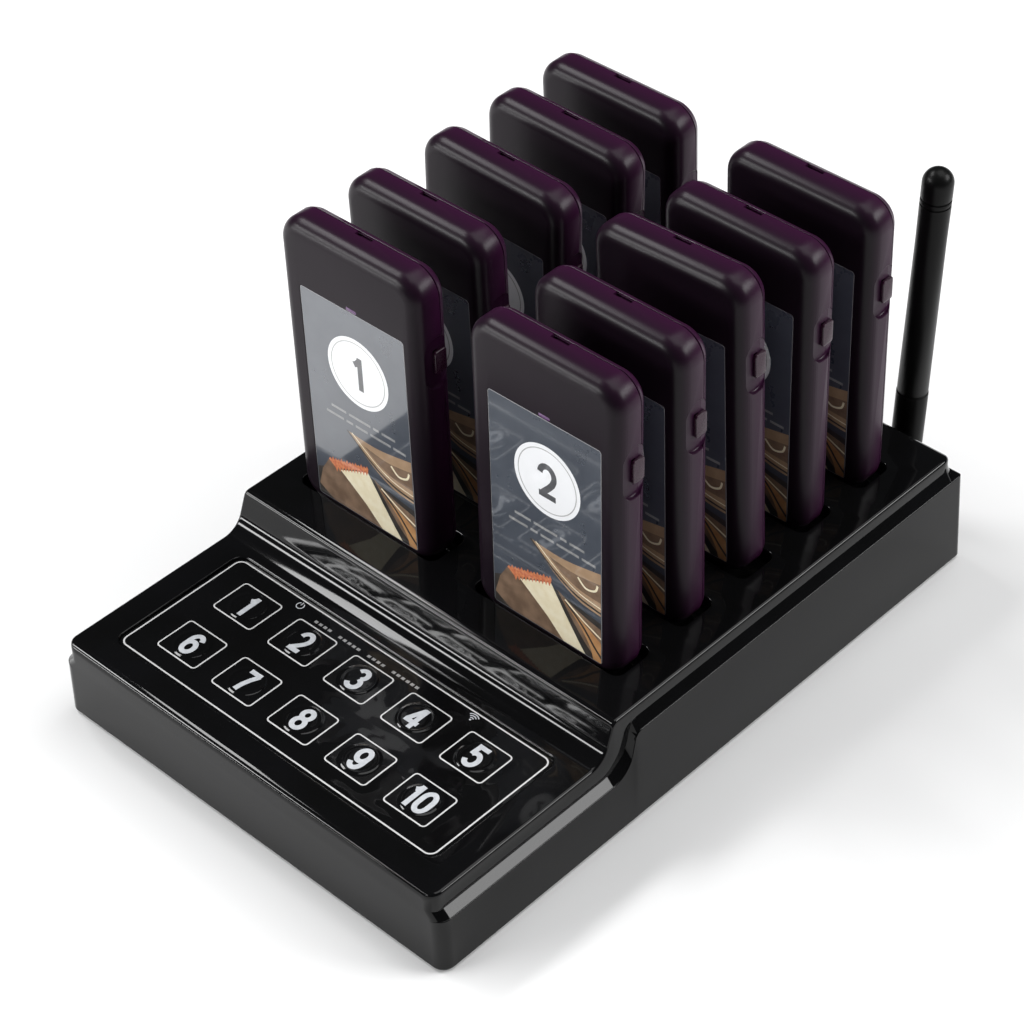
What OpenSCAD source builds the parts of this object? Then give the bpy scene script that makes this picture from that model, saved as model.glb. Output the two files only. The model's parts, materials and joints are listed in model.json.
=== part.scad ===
// Restaurant paging set: a charging base with a ten-key membrane keypad, ten hand-out
// pagers that stand in shallow wells, and a folding aerial at the back.
// X runs to the right as seen from the keypad, Y to the back, Z up. The origin is on the
// table, under the middle of the whole set, aerial included.

/* [Base] */
// Width of the base at the table
base_w = 158; // [150:1:180]
// Depth of the base, front to back
base_l = 235; // [232:1:260]
// Height of the keypad deck above the shell's lower edge
front_deck_h = 28; // [26:0.5:32]
// Height of the pager deck above the shell's lower edge
rear_deck_h = 40.4; // [39:0.2:46]
// Height of the outer side lip beside the keypad
front_lip_h = 19; // [16:0.5:22]
// Height of the outer side lip beside the pagers
rear_lip_h = 33; // [30:0.5:36]
// Distance from the front to the step between the decks
step_y = 69; // [67:0.5:72]
// Height of the rubber feet
foot_h = 1.2; // [0.8:0.1:2]

/* [Keypad] */
// Width of the membrane film
film_w = 130.8; // [126:0.2:134]
// Depth of the membrane film
film_l = 50.6; // [48:0.2:53]
// Key width
key_w = 17; // [13:0.1:18]
// Key depth
key_l = 14.6; // [11:0.1:15]
// Key spacing across
key_pitch_x = 23.6; // [21:0.1:24]
// Key spacing front to back
key_pitch_y = 22.3; // [19:0.1:23]
// How far a key travels
key_travel = 0.4; // [0.2:0.1:0.6]

/* [Pagers] */
// Pager width
pager_w = 56; // [52:0.5:58]
// Pager thickness
pager_t = 13.4; // [12.5:0.1:14.5]
// Pager height
pager_h = 105; // [98:1:115]
// Radius of the pager's four corners, seen from the front
pager_corner_r = 8.5; // [6:0.5:10]
// Radius along the pager's front and back edges
pager_edge_r = 4.5; // [2.5:0.1:4.6]
// Spacing of the pager rows
row_pitch = 27.7; // [26:0.1:28]
// Depth of the charging wells
well_depth = 5; // [4:0.1:6]
// How far a power switch slides
switch_travel = 2.5; // [1:0.1:3]

/* [Aerial] */
// Height of the aerial's fold above its mounting height
whip_l = 107.4; // [90:0.2:140]
// Radius of the aerial's lower sleeve
sleeve_r = 5.1; // [4.6:0.1:5.4]
// Lean of the aerial to the right
whip_lean = 2; // [0:0.5:5]

/* [Hidden] */
$fn = 64;

eps = 0.01;
past = 1;                       // how far a cutter runs past a face
aerial_behind = 6.3;            // from the back of the base to the aerial's centre line
front_y = -(base_l + aerial_behind + sleeve_r) / 2;
rear_y = front_y + base_l;
mid_y = (front_y + rear_y) / 2;
deck_z = foot_h + front_deck_h;
pager_deck_z = foot_h + rear_deck_h;

// shell
plan_r = 4;                     // corner radius of the base in plan, at the front
rear_plan_r = 2.5;              // the same at the back
side_draft = 0.8;               // how far each side wall leans in up to the lip
rear_draft = 1.6;               // the same for the back wall
deck_side_inset = 2.9;          // raised body, in from the base's widest line
deck_rear_inset = 3.2;            // raised body, in from the base's rear line
deck_rear_r = 6;                // the raised body's back corners in plan
step_run = 4.5;                 // how far back the step leans
step_fillet = 2;
rear_fillet = 5;                // round-over along the raised body's back edge
side_fillet = 3.4;              // round-over along the pager deck's sides
front_fillet = 2.5;
lip_step_y = step_y + 7;        // the lip rises a little behind the deck's step
lip_step_run = 4;
side_wall = 3.4;
deck_t = 2.5;
plate_t = 2.2;
plate_gap = 0.3;
raised_wall = 2.6;

// wells
well_gap_x = 0.7;
well_gap_y = 0.8;
well_w = pager_w + 2 * well_gap_x;
well_l = pager_t + 2 * well_gap_y;
well_r = 3;
well_skin = 1.6;
well_floor_t = 2;
well_floor_z = pager_deck_z - well_depth;
contact_window = [14, 4.4];
contact_x = 4;
contact_y = -1;

// pager places: odd numbers stand in the left column, even numbers in the right one
PAGERS = 10;
column_x = [-37.9, 35.7];
first_row_y = front_y + 95.1;
seat_gap = 0.5;
lean_forward = [0.9, 0.1, 1.8, 1.4, 1.1, 0.1, 0.6, 1.4, 1.6, 1.4];
lean_right = [0, 0, 0, 0, 1.7, -2.5, 1.2, 0, 0, 0];

// pager
pager_wall = 1.8;
seam_y = 2.9;                   // joint between the front and rear cases
label_w = 42.4;
label_h = 79;
label_shift = 1;
label_from_foot = 4.5;
label_depth = 0.4;
label_t = 0.3;
notch = [6.5, 1.8, 1.5];
scoop_w = 9.6;
scoop_h = 18;
scoop_depth = 1.2;
scoop_z = 75;
scoop_y = 0.7;
knob_w = 5;
knob_h = 8.2;
knob_y = 2.2;
knob_low_z = 70.6;
knob_clearance = 0.1;
stem_w = 1.2;
stem_h = 3;
stem_y = 0.9;
stem_gap = 0.2;

// keypad
film_t = 0.4;
film_recess = 1;
film_gap = 0.3;
film_r = 3.5;
film_y = front_y + 35.7;
film_z = deck_z - film_recess;
key_gap = 0.15;
key_hole_gap = 0.3;
key_r = 1.6;
key_row_y = [front_y + 46.9, front_y + 46.9 - key_pitch_y];
KEYS = 10;
KEYS_A_ROW = 5;
plunger_r = 3;
plunger_l = 1.2;
keypad_floor_t = 2;

// boards
pcb_t = 1.6;
keypad_pcb = [132, 54];
keypad_pcb_z = film_z - keypad_floor_t - 0.2 - pcb_t;
charge_pcb = [131, 138];
charge_pcb_z = well_floor_z - well_floor_t - pcb_t;
dome_r = 5;
dome_t = 0.4;
can = [28, 20, 3];
jack = [9, 13, 11];
jack_x = -40;
jack_z = foot_h + 15;
jack_hole_r = 3;
jack_pin_r = 1;

// fasteners and feet
screw_places = [for (x = [-70, 70], y = [9.5, 112.5, 221.5]) [x, front_y + y]];
boss_r = 3.2;
screw_r = 1.2;
screw_play = 0.06;
screw_l = 13;
head_r = 2.6;
head_h = 1.4;
head_recess_r = 3;
head_recess_h = 1.6;
plate_hole_r = 1.6;
foot_r = 7;
foot_places = [for (x = [-58, 58], y = [20, 215]) [x, front_y + y]];

// aerial
aerial_x = 50.3;
aerial_z = 25;
aerial_y = rear_y + aerial_behind;
socket_r = 3.1;
socket_play = 0.05;
socket_pad_r = 7;
socket_inner_y = rear_y - 9;
pad_face_y = rear_y - 0.6;
collar_r = 4.8;
collar_start_y = rear_y - 0.3;
socket_end_y = rear_y + 0.4;
collar_t = 1;
ear_r = 5;
tongue_t = 4;
tongue_r = 4.6;
tongue_gap = 0.3;
pin_r = 1.5;
pin_play = 0.05;
pin_half = 4.6;                 // half of the pin's length
sleeve_to = 23.5;
whip_base_r = 4.95;
whip_waist_r = 4.75;
whip_tip_r = 4.85;
groove_at = 95;
groove_pitch = 1.9;
groove_t = 0.6;
groove_d = 0.4;

// ---------- shared outlines ----------

module rounded_rect(w, l, r) {
    square([w - 2 * r, l], center = true);
    square([w, l - 2 * r], center = true);
    for (x = [-1, 1], y = [-1, 1])
        translate([x * (w / 2 - r), y * (l / 2 - r)]) circle(r);
}

module plan_block(w, l, h, r) {
    linear_extrude(h) rounded_rect(w, l, r);
}

// points of an arc about c, from angle a to angle b
function arc(c, r, a, b, n = 6) =
    [for (i = [0:n]) c + r * [cos(a + (b - a) * i / n), sin(a + (b - a) * i / n)]];

// turns a Y-Z outline into a bar along X, centred
module along_x(w) {
    rotate([90, 0, 90]) translate([0, 0, -w / 2]) linear_extrude(w) children();
}

// turns an X-Z outline into a bar along Y, centred
module along_y(l) {
    rotate([90, 0, 0]) translate([0, 0, -l / 2]) linear_extrude(l) children();
}

// ---------- base ----------

// block over the middle of the base, with tighter corners at the back than at the front
module base_block(w, l, h) {
    translate([0, mid_y, 0]) {
        plan_block(w, l, h, plan_r);
        translate([0, l / 4, 0]) plan_block(w, l / 2, h, rear_plan_r);
    }
}

// side view of the outer lip body
module lip_side() {
    step_r = 2;
    back_top = rear_y - rear_draft;
    polygon(concat(
        [[front_y, 0], [front_y, front_lip_h]],
        [[front_y + lip_step_y - 12, front_lip_h], [front_y + lip_step_y - 3, front_lip_h + 2]],
        [[front_y + lip_step_y, front_lip_h + 4]],
        arc([front_y + lip_step_y + lip_step_run + step_r, rear_lip_h - step_r], step_r, 170, 90),
        arc([back_top - step_r, rear_lip_h - step_r], step_r, 90, 5),
        [[rear_y, 0]]
    ));
}

// front view of the outer lip body: both side walls lean in a little
module lip_front() {
    polygon([
        [-base_w / 2, 0], [base_w / 2, 0],
        [base_w / 2 - side_draft, rear_lip_h], [-base_w / 2 + side_draft, rear_lip_h]
    ]);
}

// side view of the raised body that carries both decks
module deck_side() {
    foot = front_y + step_y;
    top = foot + step_run + step_fillet;
    back = rear_y - deck_rear_inset;
    polygon(concat(
        [[front_y, 0]],
        arc([front_y + front_fillet, front_deck_h - front_fillet], front_fillet, 180, 90),
        [[foot - 1, front_deck_h], [foot, front_deck_h + 1]],
        arc([top, rear_deck_h - step_fillet], step_fillet, 160, 90),
        arc([back - rear_fillet, rear_deck_h - rear_fillet], rear_fillet, 90, 0),
        [[back, 0]]
    ));
}

module deck_front() {
    half = base_w / 2 - deck_side_inset;
    top_r = side_fillet;
    polygon(concat(
        [[-half - 1, 0], [half + 1, 0]],
        arc([half - top_r, rear_deck_h - top_r], top_r, 0, 90, 4),
        arc([-half + top_r, rear_deck_h - top_r], top_r, 90, 180, 4)
    ));
}

module shell_outside() {
    intersection() {
        base_block(base_w, base_l, rear_deck_h);
        along_x(base_w) lip_side();
        translate([0, mid_y, 0]) along_y(base_l) lip_front();
    }
    intersection() {
        base_block(base_w, base_l, rear_deck_h);
        translate([0, mid_y - deck_rear_inset, 0])
            plan_block(base_w - 2 * deck_side_inset + 2, base_l, rear_deck_h, deck_rear_r);
        along_x(base_w) deck_side();
        translate([0, mid_y, 0]) along_y(base_l) deck_front();
    }
}

module shell_inside() {
    raised_w = base_w - 2 * deck_side_inset - 2 * raised_wall;
    low_l = base_l - 2 * side_wall - rear_draft;
    // low cavity under both decks
    translate([0, -rear_draft / 2, -past])
        base_block(base_w - 2 * side_wall, low_l, front_lip_h - deck_t + past);
    // under the keypad deck
    translate([-raised_w / 2, front_y + side_wall, -past])
        cube([raised_w, step_y, front_deck_h - film_recess - keypad_floor_t + past]);
    // under the pager deck
    translate([-raised_w / 2, front_y + step_y + step_run, -past])
        cube([raised_w, base_l - step_y - step_run - deck_rear_inset - raised_wall,
              rear_deck_h - deck_t + past]);
    // under the shelf behind the pager deck
    translate([-raised_w / 2, rear_y - deck_rear_inset - raised_wall - past, -past])
        cube([raised_w, deck_rear_inset + raised_wall - side_wall - rear_draft + past,
              rear_lip_h - deck_t + past]);
    // seat of the bottom plate
    translate([0, 0, -past])
        base_block(base_w - 2 * side_wall, base_l - 2 * side_wall, plate_t + past);
}

module well_places() {
    for (n = [0:PAGERS - 1])
        translate([column_x[n % 2], first_row_y + floor(n / 2) * row_pitch, 0]) children();
}

module key_places() {
    for (k = [0:KEYS - 1]) translate(key_place(k)) children();
}

function key_place(k) =
    [(k % KEYS_A_ROW - 2) * key_pitch_x, key_row_y[floor(k / KEYS_A_ROW)], 0];

module screw_bosses() {
    for (p = screw_places)
        translate([p[0], p[1], foot_h + plate_t])
            cylinder(r = boss_r, h = (p[1] < front_y + step_y ? front_deck_h : rear_deck_h)
                     - plate_t - deck_t / 2);
}

module socket_bore(r, from_y, to_y) {
    translate([aerial_x, from_y, aerial_z]) rotate([-90, 0, 0]) cylinder(r = r, h = to_y - from_y);
}

module top_shell() {
    skin = 2 * well_skin;
    color("#1b1b1e") difference() {
        union() {
            translate([0, 0, foot_h]) difference() {
                shell_outside();
                shell_inside();
            }
            screw_bosses();
            well_places() translate([0, 0, well_floor_z - well_floor_t])
                plan_block(well_w + skin, well_l + skin, well_depth, well_r + well_skin);
            socket_bore(socket_pad_r, rear_y - side_wall - rear_draft, pad_face_y);
        }
        well_places() translate([0, 0, well_floor_z])
            plan_block(well_w, well_l, well_depth + past, well_r);
        well_places() translate([-contact_window[0] / 2, contact_y - contact_window[1] / 2,
                                 well_floor_z - well_floor_t - past])
            cube([contact_window[0], contact_window[1], well_floor_t + 2 * past]);
        translate([0, film_y, film_z])
            plan_block(film_w + 2 * film_gap, film_l + 2 * film_gap, film_recess + past, film_r);
        key_places() translate([0, 0, film_z - keypad_floor_t - past])
            plan_block(key_w + 2 * key_hole_gap, key_l + 2 * key_hole_gap,
                       keypad_floor_t + 2 * past, key_r);
        for (p = screw_places)
            translate([p[0], p[1], foot_h + plate_t - past])
                cylinder(r = screw_r + screw_play, h = screw_l + past);
        socket_bore(socket_r, rear_y - 3 * side_wall, rear_y + past);
        translate([jack_x, rear_y - 3 * side_wall, jack_z]) rotate([-90, 0, 0])
            cylinder(r = jack_hole_r + 1, h = 4 * side_wall);
    }
}

module bottom_plate() {
    margin = side_wall + plate_gap;
    color("#202023") difference() {
        translate([0, 0, foot_h])
            base_block(base_w - 2 * margin, base_l - 2 * margin, plate_t - eps);
        for (p = screw_places) translate([p[0], p[1], foot_h]) {
            translate([0, 0, -past]) cylinder(r = plate_hole_r, h = plate_t + 2 * past);
            translate([0, 0, -past]) cylinder(r = head_recess_r, h = head_recess_h + past);
        }
    }
}

module base_screws() {
    color("#b9bcc0") for (p = screw_places) translate([p[0], p[1], foot_h + head_recess_h - head_h])
    difference() {
        union() {
            cylinder(r = head_r, h = head_h);
            cylinder(r = screw_r, h = screw_l - 1);
        }
        for (turn = [0, 90]) rotate([0, 0, turn])
            translate([-1.4, -0.3, -past]) cube([2.8, 0.6, past + 0.8]);
    }
}

module rubber_feet() {
    color("#111111") for (p = foot_places) translate([p[0], p[1], 0]) cylinder(r = foot_r, h = foot_h);
}

module keypad_overlay() {
    color("#26262a") difference() {
        translate([0, film_y, film_z]) plan_block(film_w, film_l, film_t, film_r);
        key_places() translate([0, 0, film_z - past])
            plan_block(key_w, key_l, film_t + 2 * past, key_r);
    }
}

module key(k) {
    color("#3a3a40") translate(key_place(k)) translate([0, 0, film_z]) {
        plan_block(key_w - 2 * key_gap, key_l - 2 * key_gap, film_t, key_r - key_gap);
        translate([0, 0, -plunger_l]) cylinder(r = plunger_r, h = plunger_l + film_t / 2);
    }
}

// keypad board with its snap domes, charging board, radio can and power inlet
module main_board() {
    color("#1f5136") {
        translate([-keypad_pcb[0] / 2, film_y - keypad_pcb[1] / 2, keypad_pcb_z])
            cube([keypad_pcb[0], keypad_pcb[1], pcb_t]);
        translate([-charge_pcb[0] / 2, first_row_y - 15, charge_pcb_z])
            cube([charge_pcb[0], charge_pcb[1], pcb_t]);
    }
    color("#c9ccd0") {
        key_places() translate([0, 0, keypad_pcb_z + pcb_t + eps]) cylinder(r = dome_r, h = dome_t);
        translate([-can[0] / 2, film_y - can[1] / 2, keypad_pcb_z - can[2] - eps]) cube(can);
    }
    color("#151515") difference() {
        translate([jack_x - jack[0] / 2, rear_y - side_wall - rear_draft - jack[1], jack_z - jack[2] / 2])
            cube(jack);
        translate([jack_x, rear_y - side_wall - rear_draft - jack[1] + 3, jack_z]) rotate([-90, 0, 0])
            difference() {
                cylinder(r = jack_hole_r, h = jack[1]);
                translate([0, 0, -past]) cylinder(r = jack_pin_r, h = jack[1] - 3);
            }
    }
}

module charge_contacts() {
    pin_low_r = 1.1;
    pin_tip_r = 0.7;
    reach = well_floor_t + 0.3;
    color("#d8b45a") well_places() for (side = [-1, 1])
        translate([side * contact_x, contact_y, charge_pcb_z + pcb_t]) {
            cylinder(r = pin_low_r, h = reach / 2);
            cylinder(r = pin_tip_r, h = reach);
        }
}

// ---------- aerial ----------

module antenna_socket() {
    nut_r = 5.5;
    nut_t = 2;
    nut_y = rear_y - side_wall - rear_draft - nut_t - eps;
    color("#c7a24a") {
        socket_bore(socket_r - socket_play, socket_inner_y, socket_end_y);
        translate([aerial_x, nut_y, aerial_z]) rotate([-90, 0, 0])
            cylinder(r = nut_r, h = nut_t, $fn = 6);
    }
}

// places children at the fold, leaning with the aerial
module at_fold() {
    translate([aerial_x, aerial_y, aerial_z]) rotate([0, whip_lean, 0]) children();
}

// collar and tongue that turn on the socket, and the hinge pin
module antenna_knuckle() {
    reach = aerial_y - collar_start_y;
    bore_past = 0.1;
    color("#161616") at_fold() difference() {
        union() {
            translate([0, -reach, 0]) rotate([-90, 0, 0]) cylinder(r = collar_r, h = collar_t);
            translate([-tongue_t / 2, collar_t - reach - eps, -tongue_r])
                cube([tongue_t, reach - collar_t + eps, 2 * tongue_r]);
            rotate([0, 90, 0]) cylinder(r = tongue_r, h = tongue_t, center = true);
        }
        translate([0, -reach - past, 0]) rotate([-90, 0, 0])
            cylinder(r = socket_r, h = past + socket_end_y - collar_start_y + bore_past);
        rotate([0, 90, 0]) cylinder(r = pin_r, h = 3 * ear_r, center = true);
    }
    color("#8a8d90") at_fold() rotate([0, 90, 0])
        cylinder(r = pin_r - eps, h = 2 * pin_half, center = true);
}

// whip whose sleeve is forked at its foot, over the knuckle's tongue
module antenna_whip() {
    slot = tongue_t + 2 * tongue_gap;
    color("#141414") at_fold() difference() {
        union() {
            intersection() {
                translate([0, 0, -ear_r - past]) cylinder(r = sleeve_r, h = ear_r + past + eps);
                rotate([0, 90, 0]) cylinder(r = ear_r, h = 3 * ear_r, center = true);
            }
            cylinder(r = sleeve_r, h = sleeve_to);
            translate([0, 0, sleeve_to - eps])
                cylinder(r1 = whip_base_r, r2 = whip_waist_r, h = groove_at - 10 - sleeve_to + eps);
            translate([0, 0, groove_at - 10 - eps])
                cylinder(r1 = whip_waist_r, r2 = whip_tip_r, h = 10 + eps);
            translate([0, 0, groove_at - eps])
                cylinder(r = whip_tip_r, h = whip_l - groove_at - whip_tip_r + eps);
            translate([0, 0, whip_l - whip_tip_r]) sphere(whip_tip_r - eps);
        }
        translate([-slot / 2, -sleeve_r - past, -ear_r - 2 * past])
            cube([slot, 2 * sleeve_r + 2 * past, ear_r + 2 * past + tongue_r + 0.4]);
        rotate([0, 90, 0]) cylinder(r = pin_r + pin_play, h = 3 * ear_r, center = true);
        for (g = [0, groove_pitch]) translate([0, 0, groove_at + g]) difference() {
            cylinder(r = whip_tip_r + past, h = groove_t);
            translate([0, 0, -past]) cylinder(r = whip_tip_r - groove_d, h = groove_t + 2 * past);
        }
    }
}

// ---------- pagers ----------

// places children in the well of pager n, at its own small lean
module at_pager(n) {
    lift = seat_gap + pager_t / 2 * sin(abs(lean_forward[n])) + pager_w / 2 * sin(abs(lean_right[n]));
    translate([column_x[n % 2], first_row_y + floor(n / 2) * row_pitch, well_floor_z + lift])
        rotate([lean_forward[n], lean_right[n], 0]) children();
}

// the pager's outer form, shrunk all round by inset
module pager_form(inset) {
    w = pager_w - 2 * inset;
    t = pager_t - 2 * inset;
    h = pager_h - 2 * inset;
    corner = pager_corner_r - inset;
    edge = pager_edge_r - inset;
    translate([0, 0, pager_h / 2]) intersection() {
        along_y(t) rounded_rect(w, h, corner);
        translate([0, 0, -h / 2]) plan_block(w, t, h, edge);
        along_x(w) rounded_rect(t, h, edge);
    }
}

module seam_half(rear) {
    y = rear ? seam_y : seam_y - pager_t;
    translate([-pager_w, y, -past]) cube([2 * pager_w, pager_t, pager_h + 2 * past]);
}

// oval finger scoop round the power switch, in the right side, shrunk all round by inset
module scoop(inset) {
    w = scoop_w - 2 * inset;
    translate([pager_w / 2 - scoop_depth, scoop_y, scoop_z]) rotate([90, 0, 90])
        linear_extrude(scoop_depth + past) rounded_rect(w, scoop_h - 2 * inset, w / 2 - eps);
}

module case_blank(rear) {
    difference() {
        intersection() {
            pager_form(0);
            seam_half(rear);
        }
        pager_form(pager_wall);
        scoop(0);
    }
}

module pager_front_case() {
    face_y = -pager_t / 2;
    slot_h = stem_h + switch_travel + 2 * stem_gap;
    color("#3b2a3c") difference() {
        case_blank(false);
        translate([label_shift - label_w / 2, face_y - past, label_from_foot])
            cube([label_w, past + label_depth, label_h]);
        translate([-notch[0] / 2, seam_y - notch[1], pager_h - notch[2]])
            cube([notch[0], notch[1] + past, notch[2] + past]);
        translate([-contact_window[0] / 2, contact_y - contact_window[1] / 2, -past])
            cube([contact_window[0], contact_window[1], pager_wall + 2 * past]);
        translate([pager_w / 2 - pager_wall - past, stem_y - stem_w / 2 - stem_gap,
                   knob_low_z + knob_h / 2 - stem_h / 2 - stem_gap])
            cube([pager_wall + past, stem_w + 2 * stem_gap, slot_h]);
    }
    color("#101216") translate([label_shift - label_w / 2 + 0.1, face_y + label_depth - label_t,
                                label_from_foot + 0.1])
        cube([label_w - 0.2, label_t - eps, label_h - 0.2]);
}

module pager_rear_case() {
    color("#332535") case_blank(true);
}

module pager_switch() {
    knob_in = pager_w / 2 - scoop_depth + knob_clearance;
    color("#2c2030") {
        intersection() {
            pager_form(0);
            scoop(knob_clearance);
            translate([knob_in, knob_y - knob_w / 2, knob_low_z]) cube([scoop_depth, knob_w, knob_h]);
        }
        translate([knob_in - 2.2, stem_y - stem_w / 2, knob_low_z + knob_h / 2 - stem_h / 2])
            cube([2.3, stem_w, stem_h]);
    }
}

// board, cell, motor, buzzer and charge pads
module pager_electronics() {
    board_y = 0.6;
    board_t = 1.2;
    board_half = 22.5;
    color("#1f5136") translate([-board_half, board_y, 4]) cube([2 * board_half, board_t, pager_h - 8]);
    color("#9aa0a8") translate([-17, board_y - 4.2, 30]) cube([34, 4.2 - eps, 44]);
    color("#b8bcc2") translate([-16, board_y - 2.4, 16]) rotate([0, 90, 0]) cylinder(r = 2.2, h = 12);
    color("#202020") translate([0, board_y - eps, 89]) rotate([90, 0, 0]) cylinder(r = 6, h = 3.2);
    color("#d8b45a") for (side = [-1, 1])
        translate([side * contact_x, contact_y, 0.15]) cylinder(r = 1.5, h = 2.6);
}

// ---------- assembly ----------

for (k = [0:KEYS - 1])
    key(k);
for (n = [0:PAGERS - 1]) {
    at_pager(n) pager_front_case();
    at_pager(n) pager_rear_case();
    at_pager(n) pager_switch();
    at_pager(n) pager_electronics();
}
top_shell();
bottom_plate();
keypad_overlay();
main_board();
charge_contacts();
antenna_socket();
antenna_knuckle();
antenna_whip();
rubber_feet();
base_screws();
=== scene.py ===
import json
import math

import bmesh
import bpy
from mathutils import Matrix, Vector, noise


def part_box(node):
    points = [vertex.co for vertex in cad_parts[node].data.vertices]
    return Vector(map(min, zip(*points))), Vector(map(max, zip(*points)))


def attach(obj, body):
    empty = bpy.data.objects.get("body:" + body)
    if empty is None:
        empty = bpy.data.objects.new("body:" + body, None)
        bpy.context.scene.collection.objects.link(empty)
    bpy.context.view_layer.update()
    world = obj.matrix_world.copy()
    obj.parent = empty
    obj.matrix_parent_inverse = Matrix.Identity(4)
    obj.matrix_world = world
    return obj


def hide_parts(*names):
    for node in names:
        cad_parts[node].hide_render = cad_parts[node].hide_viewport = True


# Looks of a guest-paging set: charging base with keypad, ten pagers, folding aerial.
# Lengths below are millimetres unless a name says otherwise; meshes are made in metres.

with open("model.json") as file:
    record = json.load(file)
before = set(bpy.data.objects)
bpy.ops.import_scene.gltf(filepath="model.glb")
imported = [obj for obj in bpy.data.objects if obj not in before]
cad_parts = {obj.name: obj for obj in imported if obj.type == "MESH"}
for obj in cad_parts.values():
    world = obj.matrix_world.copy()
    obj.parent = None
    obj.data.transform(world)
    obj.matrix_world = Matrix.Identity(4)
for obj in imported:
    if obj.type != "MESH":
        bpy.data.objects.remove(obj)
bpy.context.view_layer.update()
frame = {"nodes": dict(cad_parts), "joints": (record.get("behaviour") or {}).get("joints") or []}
MM = 0.001
PAGERS = range(1, 11)
KEYS = range(1, 11)


def mm_box(node):
    """Lowest and highest corner of a CAD node, in millimetres."""
    low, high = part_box(node)
    return low / MM, high / MM


def joint(name):
    """A joint's row in the frame."""
    return next(j for j in frame["joints"] if j["name"] == name)


# ---------------------------------------------------------------- sizes from the frame

SHELL_LOW, SHELL_HIGH = mm_box("top_shell")
FILM_LOW, FILM_HIGH = mm_box("keypad_overlay")
PLATE_LOW, PLATE_HIGH = mm_box("bottom_plate")
FRONT, REAR = SHELL_LOW.y, SHELL_HIGH.y
FOOT = SHELL_LOW.z
HALF_W = SHELL_HIGH.x
PAGER_DECK = SHELL_HIGH.z
FILM_TOP = FILM_HIGH.z
FILM_SUNK = 0.6
KEY_DECK = FILM_TOP + FILM_SUNK
FILM_W, FILM_L = FILM_HIGH.x - FILM_LOW.x, FILM_HIGH.y - FILM_LOW.y
FILM_X, FILM_Y = (FILM_LOW.x + FILM_HIGH.x) / 2, (FILM_LOW.y + FILM_HIGH.y) / 2

# base form, as in the CAD shell
STEP_AT = 69.0
STEP_RUN = 4.5
LIP_FRONT = FOOT + 19.0
LIP_REAR = FOOT + 33.0
RAISED_HALF = HALF_W - 2.9
RAISED_REAR = REAR - 3.2
SIDE_DRAFT = 0.8
REAR_DRAFT = 1.6
PLAN_R = 4.0
REAR_PLAN_R = 2.5
DECK_REAR_PLAN_R = 6.0
WELL_W, WELL_L, WELL_R, WELL_DEPTH = 57.4, 15.0, 3.0, 5.0
INLET_X, INLET_Z, INLET_R = -40.0, FOOT + 15, 4
# charge pins: radius, and from their box's side and from their own row to the well's middle
PIN_R, PIN_SIDE, PIN_AHEAD = 1.1, 5.1, 1.0
# the board's faces this near the rear belong to its power jack
JACK_ZONE = 22

# keypad: keys the size of the CAD's, and the print on the film
KEY_W, KEY_L = 16.7, 14.3
KEY_R = 1.5
BORDER_W, BORDER_L = 128.6, 48.6
INK = 0.02

# pager form, as in the CAD pagers: x across, y from the front's face to the back, z up from the foot
PAGER_W, PAGER_T, PAGER_H = 56.0, 13.4, 105.0
FACE = -PAGER_T / 2
WALL = 1.8
CORNER_R = 8.5
EDGE_R = 4.5
SEAM_Y = 2.9
LABEL_W, LABEL_H = 42.4, 79.0
LABEL_X, LABEL_Z = 1.0, 4.5
# back of the label's ink, just in front of the pane
INK_BED = FACE + 0.079
DISC_X, DISC_Z, DISC_R = 1.9, 61.7, 12.4
SCOOP_W, SCOOP_H, SCOOP_END_R = 9.6, 18.0, 4.79
SCOOP_Y, SCOOP_Z = 0.7, 75.0


# ---------------------------------------------------------------- mesh helpers

def in_scene(name, data):
    """A new object in the scene that shows the given mesh, camera or light."""
    obj = bpy.data.objects.new(name, data)
    bpy.context.scene.collection.objects.link(obj)
    return obj


def make_object(name, verts, faces, material, crease=32.0):
    """A smooth-shaded mesh object from millimetre vertices."""
    mesh = bpy.data.meshes.new(name)
    mesh.from_pydata([Vector(v) * MM for v in verts], [], faces)
    mesh.validate()
    obj = in_scene(name, mesh)
    clean(obj, crease)
    if material:
        mesh.materials.append(material)
    return obj


def clean(obj, crease=32.0):
    """Merges doubles, points normals outwards and splits shading at real edges."""
    bm = bmesh.new()
    bm.from_mesh(obj.data)
    bmesh.ops.remove_doubles(bm, verts=bm.verts, dist=2e-7)
    bmesh.ops.dissolve_degenerate(bm, edges=bm.edges, dist=1e-7)
    bmesh.ops.recalc_face_normals(bm, faces=bm.faces)
    for face in bm.faces:
        face.smooth = True
    bm.to_mesh(obj.data)
    bm.free()
    obj.data.set_sharp_from_angle(angle=math.radians(crease))


def join_parts(parts):
    """Joins (verts, faces) pairs into one."""
    verts, faces = [], []
    for v, f in parts:
        base = len(verts)
        verts += [tuple(p) for p in v]
        faces += [tuple(i + base for i in face) for face in f]
    return verts, faces


def loft(rings, cap=True):
    """Skins rings of equal length; each ring is a list of 3-D points."""
    n = len(rings[0])
    verts = [p for ring in rings for p in ring]
    faces = []
    for k in range(len(rings) - 1):
        for i in range(n):
            j = (i + 1) % n
            faces.append((k * n + i, k * n + j, (k + 1) * n + j, (k + 1) * n + i))
    if cap:
        faces.append(tuple(reversed(range(n))))
        faces.append(tuple((len(rings) - 1) * n + i for i in range(n)))
    return verts, faces


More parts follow.
